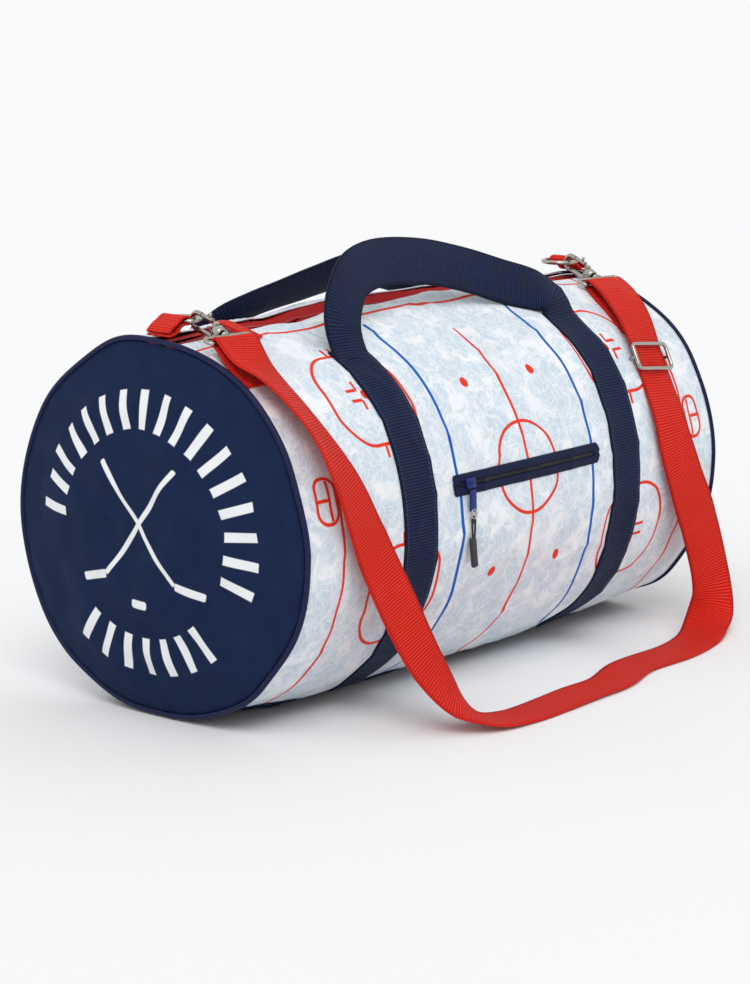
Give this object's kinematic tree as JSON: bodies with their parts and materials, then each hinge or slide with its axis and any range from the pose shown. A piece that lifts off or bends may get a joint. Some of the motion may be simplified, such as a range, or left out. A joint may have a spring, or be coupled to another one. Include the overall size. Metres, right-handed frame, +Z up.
{
  "type": "barrel equipment bag",
  "caption": "Barrel-shaped zipped fabric sports bag with webbing handles, a front zip pocket and a clip-on adjustable shoulder strap.",
  "frame": {"origin": "on the floor, in the middle of the flat underside of the barrel", "axes": "+X along the barrel from the near end to the far end, -Y towards the side with the pocket and the strap, +Z up"},
  "size_m": [0.5756, 0.3761, 0.3462],
  "materials": {
    "printed_fabric": "printed polyester, matt",
    "navy_fabric": "plain weave, matt",
    "navy_webbing": "cross-ribbed webbing",
    "navy_piping": "smooth covered cord",
    "red_zip_tape": "woven tape",
    "red_coil": "moulded coil",
    "red_webbing": "cross-ribbed webbing",
    "navy_zip_tape": "woven tape",
    "black_coil": "moulded coil",
    "red_paint": "satin enamel",
    "blue_paint": "satin enamel",
    "pocket_lining": "thin plain lining",
    "nickel": "bright nickel plate",
    "black_cord": "braided cord",
    "charcoal_rubber": "matt moulded rubber"
  },
  "bodies": {
    "bag": {"front_panel": "printed_fabric", "back_panel": "printed_fabric", "base_panel": "navy_fabric", "near_end_panel": "navy_fabric", "far_end_panel": "navy_fabric", "near_piping": "navy_piping", "far_piping": "navy_piping", "main_zip_tape_front": "red_zip_tape", "main_zip_tape_back": "red_zip_tape", "main_zip_coil": "red_coil", "main_zip_near_stop": "nickel", "main_zip_far_stop": "nickel", "pocket_zip_tape_upper": "navy_zip_tape", "pocket_zip_tape_lower": "navy_zip_tape", "pocket_zip_coil": "black_coil", "pocket_zip_near_stop": "nickel", "pocket_zip_far_stop": "nickel", "pocket_pouch": "pocket_lining", "front_near_band": "navy_webbing", "back_near_band": "navy_webbing", "front_far_band": "navy_webbing", "back_far_band": "navy_webbing", "near_tab": "red_webbing", "far_tab": "red_webbing"},
    "front_grip": {"front_handle": "navy_webbing"},
    "back_grip": {"back_handle": "navy_webbing"},
    "zip_slider": {"main_slider": "red_paint"},
    "zip_pull": {"main_pull": "red_webbing"},
    "pocket_runner": {"pocket_slider": "blue_paint"},
    "pocket_hanger": {"pocket_pull_tab": "blue_paint", "pocket_pull_ring": "nickel", "pocket_pull_cord": "black_cord", "pocket_pull_grip": "charcoal_rubber"},
    "near_ring": {"near_d_ring": "nickel"},
    "far_ring": {"far_d_ring": "nickel"},
    "strap": {"shoulder_strap": "red_webbing", "near_swivel_eye": "nickel", "far_swivel_eye": "nickel"},
    "near_hook": {"near_hook_body": "nickel"},
    "far_hook": {"far_hook_body": "nickel"},
    "near_gate": {"near_hook_gate": "nickel"},
    "far_gate": {"far_hook_gate": "nickel"},
    "slide": {"slide_adjuster": "nickel"}
  },
  "joints": [
    {"name": "front_handle_fold", "type": "hinge", "parent": "bag", "child": "front_grip", "pos_m": [0, -0.076, 0.271], "axis": [1, 0, 0], "range_deg": [-12, 130]},
    {"name": "back_handle_fold", "type": "hinge", "parent": "bag", "child": "back_grip", "pos_m": [0, 0.076, 0.271], "axis": [-1, 0, 0], "range_deg": [0, 130]},
    {"name": "main_zip_slide", "type": "slide", "parent": "bag", "child": "zip_slider", "axis": [1, 0, 0], "range_m": [0, 0.396]},
    {"name": "main_pull_flip", "type": "hinge", "parent": "zip_slider", "child": "zip_pull", "pos_m": [-0.198, 0, 0.292], "axis": [-1, 0, 0], "range_deg": [0, 160]},
    {"name": "pocket_zip_slide", "type": "slide", "parent": "bag", "child": "pocket_runner", "axis": [1, 0, 0], "range_m": [0, 0.152]},
    {"name": "pocket_pull_swing", "type": "hinge", "parent": "pocket_runner", "child": "pocket_hanger", "pos_m": [-0.076, -0.14654, 0.16684], "axis": [-1, 0, 0], "range_deg": [0, 120]},
    {"name": "near_ring_lift", "type": "hinge", "parent": "bag", "child": "near_ring", "pos_m": [-0.241, 0, 0.299], "axis": [0, -1, 0], "range_deg": [0, 6]},
    {"name": "far_ring_lift", "type": "hinge", "parent": "bag", "child": "far_ring", "pos_m": [0.241, 0, 0.299], "axis": [0, 1, 0], "range_deg": [0, 6]},
    {"name": "strap_swing", "type": "hinge", "parent": "bag", "child": "strap", "pos_m": [-0.234, -0.014, 0.299], "axis": [-1, -0.0005, 0], "range_deg": [0, 145]},
    {"name": "near_hook_swivel", "type": "hinge", "parent": "strap", "child": "near_hook", "pos_m": [-0.23608, -0.03379, 0.29367], "axis": [0.101, 0.9606, 0.2588], "range_deg": [-20, 20]},
    {"name": "far_hook_swivel", "type": "hinge", "parent": "strap", "child": "far_hook", "pos_m": [0.23019, -0.03297, 0.29229], "axis": [0.1642, 0.9312, 0.3256], "range_deg": [-15, 15]},
    {"name": "near_gate_press", "type": "hinge", "parent": "near_hook", "child": "near_gate", "pos_m": [-0.23589, -0.03197, 0.30037], "axis": [-0.9945, 0.1045, 0], "range_deg": [0, 25], "stiffness_Nm_per_rad": 0.002, "springref_deg": -11.46},
    {"name": "far_gate_press", "type": "hinge", "parent": "far_hook", "child": "far_gate", "pos_m": [0.23042, -0.03163, 0.29911], "axis": [-0.9848, 0.1736, 0], "range_deg": [0, 25], "stiffness_Nm_per_rad": 0.002, "springref_deg": -11.46},
    {"name": "slide_shift", "type": "slide", "parent": "strap", "child": "slide", "axis": [0.116, 0.4787, 0.8703], "range_m": [0, 0.012]}
  ]
}
